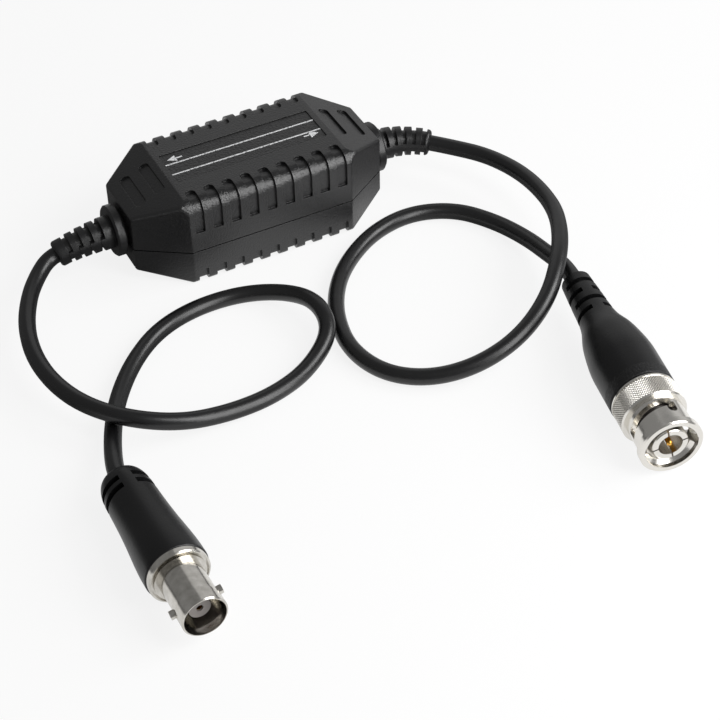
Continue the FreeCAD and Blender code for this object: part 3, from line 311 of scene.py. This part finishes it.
# Satin nickel: a warm grey metal, clouded in patches of 2 mm by a light tarnish.
satin_nickel, tree, shader = finish("satin_nickel_plate", "#cbc8c2", Metallic=1.0)
tarnish = cloud(tree, shader, patch=0.002, sheen=(0.12, 0.24), strength=0.15, depth=0.00008,
                Detail=4.0, Roughness=0.6)
two_tones(tree, shader, tarnish, (0.3, "#b9b6af"), (0.7, "#d8d5cf"))
dress(satin_nickel, "jack_body", "jack_bayonet_pins", "jack_ferrule")

# Boot PVC: soft and nearly smooth, darker than the box because it reflects less.
boot_pvc, tree, shader = finish("satin_boot_pvc", "#0f0f10", IOR=1.4)
spark_grain(tree, shader, grain=0.0006, depth=0.00002, low=0.33, high=0.42)
dress(boot_pvc, "jack_boot")

# Insulator resin: white like the plug's, but painted a dull grey as the shade deep in the jack's
# barrel, with faint waves of 1.4 mm from the mould.
shade_greyed_resin, tree, shader = finish("insulator_resin_painted_shade", "#7f7a77", Roughness=0.45)
cloud(tree, shader, patch=0.0014286, strength=0.1, depth=0.0001)
dress(shade_greyed_resin, "jack_dielectric")

# Gold flash: thin gold on turned brass, with a sheen that varies over 1.1 mm.
gold_flash, tree, shader = finish("gold_flashed_brass", "#d8a74a", Metallic=1.0)
cloud(tree, shader, patch=0.0011111, sheen=(0.15, 0.3))
dress(gold_flash, "jack_contact", "plug_pin")

# Bayonet plug: a nickelled shell with four spring fingers round a gold pin, and a nickelled
# bayonet sleeve that turns on it against a steel wave spring, held by steel washers and a ring.
# A moulded boot covers its crimp, with a coarse band at the sleeve's end.

# Bright nickel: nearly a mirror, broken by handling marks of 1.7 mm.
bright_nickel, tree, shader = finish("bright_nickel_plate", "#e2dfd9", Metallic=1.0)
cloud(tree, shader, patch=0.0016667, sheen=(0.14, 0.27), strength=0.1, depth=0.00005, Detail=4.0)
dress(bright_nickel, "plug_body", "plug_ferrule", "coupling_sleeve")

# Blued spring steel: dark and oily, in patches of 1.1 mm. Its darkness is also painted shade for
# the inside of the sleeve's slot, where these parts show.
slot_shade_steel, tree, shader = finish("blued_steel_with_slot_shade", "#4a4643", Metallic=1.0)
cloud(tree, shader, patch=0.0011111, sheen=(0.3, 0.5), Detail=2.0)
dress(slot_shade_steel, "thrust_washer", "spring_washer", "retaining_ring")

# Banded boot PVC: the same soft black as the jack's boot, with a coarse matt band of 0.5 mm pits
# from the mould that ends 18.4 mm behind the plug's mouth.
plug_yaw = math.radians(-101.11)
aim = Vector((math.cos(plug_yaw), math.sin(plug_yaw), 0.0))
side = Vector((0.0, 0.0, 1.0)).cross(aim)
plug_place = Matrix((side, aim.cross(side), aim)).transposed().to_4x4()
plug_place.translation = (0.04189, -0.11876, 0.00753)
band_end = 0.0184
band_fade = 0.0002
band_pit = 0.0005
banded_pvc, tree, shader = finish("boot_pvc_with_rough_band", "#0f0f10", IOR=1.4)
place = add_node(tree, "ShaderNodeTexCoord").outputs["Object"]
behind = add_node(tree, "ShaderNodeVectorMath", {1: -aim}, {0: place},
                  operation="DOT_PRODUCT").outputs["Value"]
mouth = -aim.dot(plug_place.translation)
band = add_node(tree, "ShaderNodeMapRange",
                {"From Min": mouth + band_end + band_fade, "From Max": mouth + band_end},
                {"Value": behind}).outputs[0]
rough = add_node(tree, "ShaderNodeMapRange", {"To Min": 0.36, "To Max": 0.5}, {"Value": band})
coarse = add_node(tree, "ShaderNodeMapRange", {"To Min": 0.12, "To Max": 1.0}, {"Value": band})
pits = add_node(tree, "ShaderNodeTexNoise", {"Scale": 1 / band_pit, "Detail": 2.0, "Roughness": 0.6},
                {"Vector": place})
relief = add_node(tree, "ShaderNodeBump", {"Distance": 0.0002},
                  {"Height": pits.outputs[0], "Strength": coarse.outputs[0]})
tree.links.new(rough.outputs[0], shader.inputs["Roughness"])
tree.links.new(relief.outputs[0], shader.inputs["Normal"])
dress(banded_pvc, "plug_boot")

# White resin: a clean satin white, with faint waves of 1.4 mm from the mould.
white_resin, tree, shader = finish("white_insulator_resin", "#eeece8", Roughness=0.4)
cloud(tree, shader, patch=0.0014286, strength=0.1, depth=0.0001)
dress(white_resin, "plug_dielectric")

# Silicone: a dark brown-black rubber, dull, with the same faint waves.
silicone, tree, shader = finish("dark_silicone", "#241f1d", Roughness=0.5)
cloud(tree, shader, patch=0.0014286, strength=0.1, depth=0.0001)
dress(silicone, "sealing_gasket")

# Sleeve knurl: the gripping band of the bayonet sleeve, rolled into the nickelled brass. Two
# crossing sets of grooves leave small pyramids, about 0.6 mm apart.
knurl_front = 0.00945
knurl_length = 0.0051
knurl_root = 0.00717
knurl_height = 0.00024
knurl_inside = 0.985
teeth_round = 76
teeth_along = 8
level = 0.000001
form = bmesh.new()
bmesh.ops.create_cone(form, cap_ends=False, segments=teeth_round, radius1=knurl_root, radius2=knurl_root,
                      depth=knurl_length)
upright = [edge for edge in form.edges if abs(edge.verts[0].co.z - edge.verts[1].co.z) > level]
bmesh.ops.subdivide_edges(form, edges=upright, cuts=teeth_along - 1, use_grid_fill=True)
ruled = [edge for edge in form.edges if not edge.is_boundary]
bmesh.ops.poke(form, faces=form.faces[:])
bmesh.ops.dissolve_edges(form, edges=ruled, use_verts=False)
diamonds = [face for face in form.faces if len(face.verts) == 4]
bmesh.ops.poke(form, faces=diamonds, offset=knurl_height, center_mode="MEAN")
rims = [edge for edge in form.edges if edge.is_boundary]
inward = bmesh.ops.extrude_edge_only(form, edges=rims)["geom"]
inner_rim = [part for part in inward if isinstance(part, bmesh.types.BMVert)]
bmesh.ops.scale(form, vec=(knurl_inside, knurl_inside, 1.0), verts=inner_rim)
bmesh.ops.bridge_loops(form, edges=[edge for edge in form.edges if edge.is_boundary])
knurl_centre = Matrix.Translation((0, 0, -knurl_front - knurl_length / 2))
bmesh.ops.transform(form, matrix=plug_place @ knurl_centre, verts=form.verts)
bmesh.ops.recalc_face_normals(form, faces=form.faces)

# Rolled nickel: greyer and duller than the turned faces, so that each pyramid has a soft glint.
rolled_nickel, tree, shader = finish("rolled_nickel_plate", "#cfccc6", Metallic=1.0)
cloud(tree, shader, patch=0.00125, sheen=(0.26, 0.38), Detail=3.0)
mesh = bpy.data.meshes.new("sleeve_knurl")
form.to_mesh(mesh)
form.free()
mesh.materials.append(rolled_nickel)
knurl = bpy.data.objects.new("sleeve_knurl", mesh)
bpy.context.scene.collection.objects.link(knurl)
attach(knurl, "bayonet_sleeve")

# Studio: a white paper sweep, a dim panel behind, a key from the right, a tall strip beside the
# camera and the camera of the photograph. The paper looks white but keeps the soft shadows. In
# reflections it shows painted light: a painted pool of light before the box, and painted shadow
# that falls off to grey at the box's two ends.
paper_reach = 0.1
left_dim, left_lit, right_lit, right_dim = 0.34, 0.41, 0.64, 0.73
# The two greys are painted shadow of the box's ends, seen in reflections of the paper.
left_painted_shadow = (0.05, 0.05, 0.05, 1.0)
right_painted_shadow = (0.1, 0.1, 0.1, 1.0)
full_white = (1.0, 1.0, 1.0, 1.0)
pool_start = -0.045
pool_full = -0.075
seen_glow = 0.85
mirrored_glow = 0.8
paper_half = 3.0
paper, tree, shader = finish("white_paper_sweep", "#f4f4f4", Roughness=0.9)
sees = add_node(tree, "ShaderNodeLightPath")
place = add_node(tree, "ShaderNodeTexCoord").outputs["Object"]
axes = add_node(tree, "ShaderNodeSeparateXYZ", links={0: place})
along = add_node(tree, "ShaderNodeMapRange", {"From Min": -paper_reach, "From Max": paper_reach},
                 {"Value": axes.outputs["X"]})
pool = add_node(tree, "ShaderNodeValToRGB", links={"Fac": along.outputs[0]})
pool.color_ramp.elements[0].position = left_dim
pool.color_ramp.elements[0].color = left_painted_shadow
pool.color_ramp.elements[1].position = right_dim
pool.color_ramp.elements[1].color = right_painted_shadow
for lit_at in (left_lit, right_lit):
    pool.color_ramp.elements.new(lit_at).color = full_white
before = add_node(tree, "ShaderNodeMapRange", {"From Min": pool_start, "From Max": pool_full},
                  {"Value": axes.outputs["Y"]})
lit = add_node(tree, "ShaderNodeMath", links={0: pool.outputs[0], 1: before.outputs[0]},
               operation="MAXIMUM")
bright = add_node(tree, "ShaderNodeMath", links={0: lit.outputs[0], 1: sees.outputs["Is Camera Ray"]},
                  operation="MAXIMUM")
mirrored = add_node(tree, "ShaderNodeMath", {1: mirrored_glow}, {0: sees.outputs["Is Glossy Ray"]},
                    operation="MULTIPLY")
amount = add_node(tree, "ShaderNodeMath", {1: seen_glow},
                  {0: sees.outputs["Is Camera Ray"], 2: mirrored.outputs[0]}, operation="MULTIPLY_ADD")
white = add_node(tree, "ShaderNodeEmission", {"Color": full_white}, {"Strength": bright.outputs[0]})
both = add_node(tree, "ShaderNodeMixShader",
                links={0: amount.outputs[0], 1: shader.outputs[0], 2: white.outputs[0]})
tree.links.new(both.outputs[0], tree.nodes["Material Output"].inputs["Surface"])
sheet = bmesh.new()
bmesh.ops.create_grid(sheet, x_segments=1, y_segments=1, size=paper_half)
mesh = bpy.data.meshes.new("paper_sweep")
sheet.to_mesh(mesh)
sheet.free()
mesh.materials.append(paper)
sweep = bpy.data.objects.new("paper_sweep", mesh)
bpy.context.scene.collection.objects.link(sweep)

room_glow = 0.24
seen_room_glow = 1.0
world = bpy.data.worlds.new("studio_world")
bpy.context.scene.world = world
world.use_nodes = True
tree = world.node_tree
room = tree.nodes["Background"]
room.inputs["Color"].default_value = full_white
sees = add_node(tree, "ShaderNodeLightPath")
strength = add_node(tree, "ShaderNodeMapRange", {"To Min": room_glow, "To Max": seen_room_glow},
                    {"Value": sees.outputs["Is Camera Ray"]})
tree.links.new(strength.outputs[0], room.inputs["Strength"])

for name, spot, aim_at, wide, high, power in (
        ("back_panel", (0.435, 0.30, 0.23), (0.435, -0.1, 0.23), 0.83, 0.46, 0.46),
        ("key_softbox", (0.56, -0.22, 0.40), (0.0, -0.05, 0.0), 0.36, 0.36, 2.6),
        ("front_strip", (0.15, -0.32, 0.23), (0.0, 0.0, 0.08), 0.16, 0.456, 1.35)):
    lamp = bpy.data.lights.new(name, "AREA")
    lamp.shape = "RECTANGLE"
    lamp.size = wide
    lamp.size_y = high
    lamp.energy = power
    holder = bpy.data.objects.new(name, lamp)
    holder.location = spot
    holder.rotation_mode = "QUATERNION"
    holder.rotation_quaternion = (Vector(spot) - Vector(aim_at)).to_track_quat("Z", "Y")
    bpy.context.scene.collection.objects.link(holder)

camera_turn = -0.4632
camera_lift = 0.7413
camera_roll = -0.0221
camera_distance = 0.43066
looks_at = Vector((0.0010173, -0.0569606, 0.0))
focal_pixels = 1923.65
picture_pixels = 720
sensor_width = 36
level_reach = math.cos(camera_lift)
back = Vector((math.sin(camera_turn) * level_reach, -math.cos(camera_turn) * level_reach,
               math.sin(camera_lift)))
right = Vector((math.cos(camera_turn), math.sin(camera_turn), 0.0))
upward = back.cross(right)
across = right * math.cos(camera_roll) + upward * math.sin(camera_roll)
upward = upward * math.cos(camera_roll) - right * math.sin(camera_roll)
view = bpy.data.cameras.new("photo_camera")
view.lens = focal_pixels / picture_pixels * sensor_width
view.sensor_width = sensor_width
view.clip_start = 0.01
view.clip_end = 20
camera = bpy.data.objects.new("photo_camera", view)
bpy.context.scene.collection.objects.link(camera)
camera.rotation_mode = "QUATERNION"
camera.rotation_quaternion = Matrix((across, upward, back)).transposed().to_quaternion()
camera.location = looks_at + back * camera_distance
bpy.context.scene.camera = camera
bpy.context.scene.view_settings.view_transform = "Standard"
